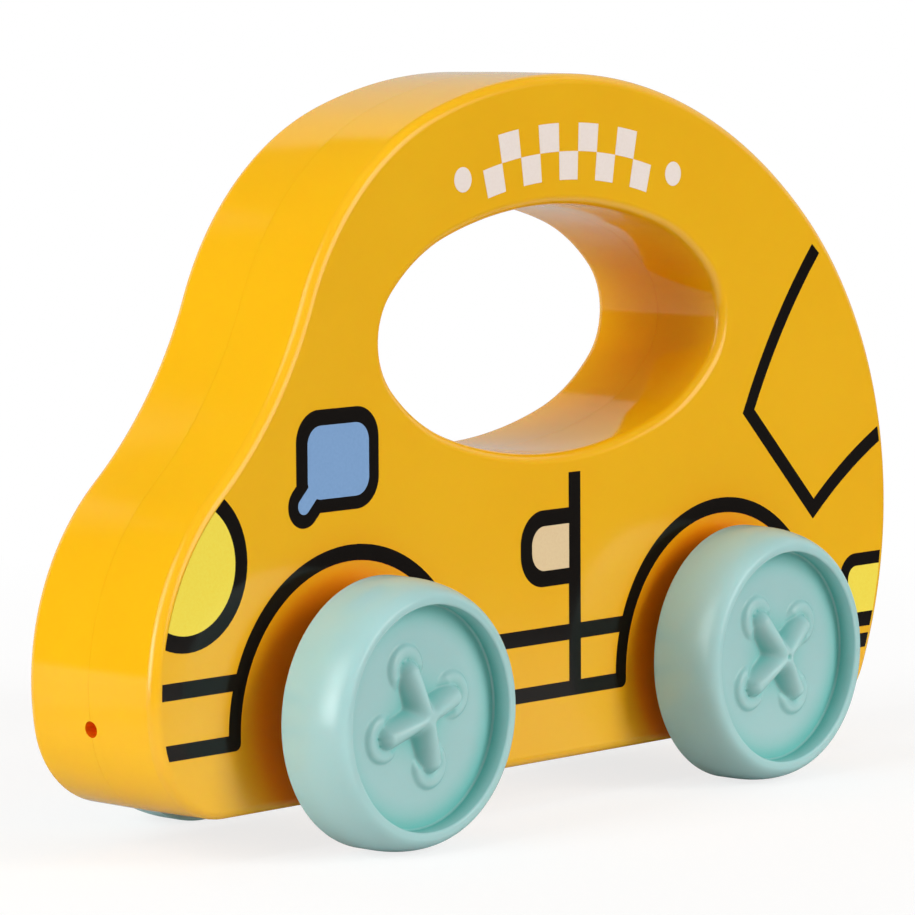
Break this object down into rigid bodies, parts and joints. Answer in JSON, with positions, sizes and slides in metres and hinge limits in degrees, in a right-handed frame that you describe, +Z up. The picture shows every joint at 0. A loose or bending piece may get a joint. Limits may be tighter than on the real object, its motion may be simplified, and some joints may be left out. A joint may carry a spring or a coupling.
{
  "type": "toy taxi",
  "caption": "Toddler's push-along taxi: hollow rounded body in two moulded halves with a large oval grab hole, on free-turning wheels shaped like sewn-on buttons.",
  "frame": {"origin": "on the ground, below the middle of the car", "axes": "nose towards -X, the side seen in the picture towards -Y, +Z up"},
  "size_m": [0.1512, 0.0548, 0.1006],
  "materials": {
    "body_yellow": "glossy moulded plastic with a printed line drawing",
    "wheel_mint": "semi-matte moulded plastic",
    "axle_steel": "drawn bright steel rod"
  },
  "bodies": {
    "car_body": {"left_shell": "body_yellow", "right_shell": "body_yellow"},
    "front_wheelset": {"front_axle": "axle_steel", "front_left_wheel": "wheel_mint", "front_right_wheel": "wheel_mint"},
    "rear_wheelset": {"rear_axle": "axle_steel", "rear_left_wheel": "wheel_mint", "rear_right_wheel": "wheel_mint"}
  },
  "joints": [
    {"name": "front_roll", "type": "hinge", "parent": "car_body", "child": "front_wheelset", "pos_m": [-0.03999, 0, 0.018], "axis": [0, 1, 0], "continuous": true},
    {"name": "rear_roll", "type": "hinge", "parent": "car_body", "child": "rear_wheelset", "pos_m": [0.03561, 0, 0.018], "axis": [0, 1, 0], "continuous": true}
  ]
}
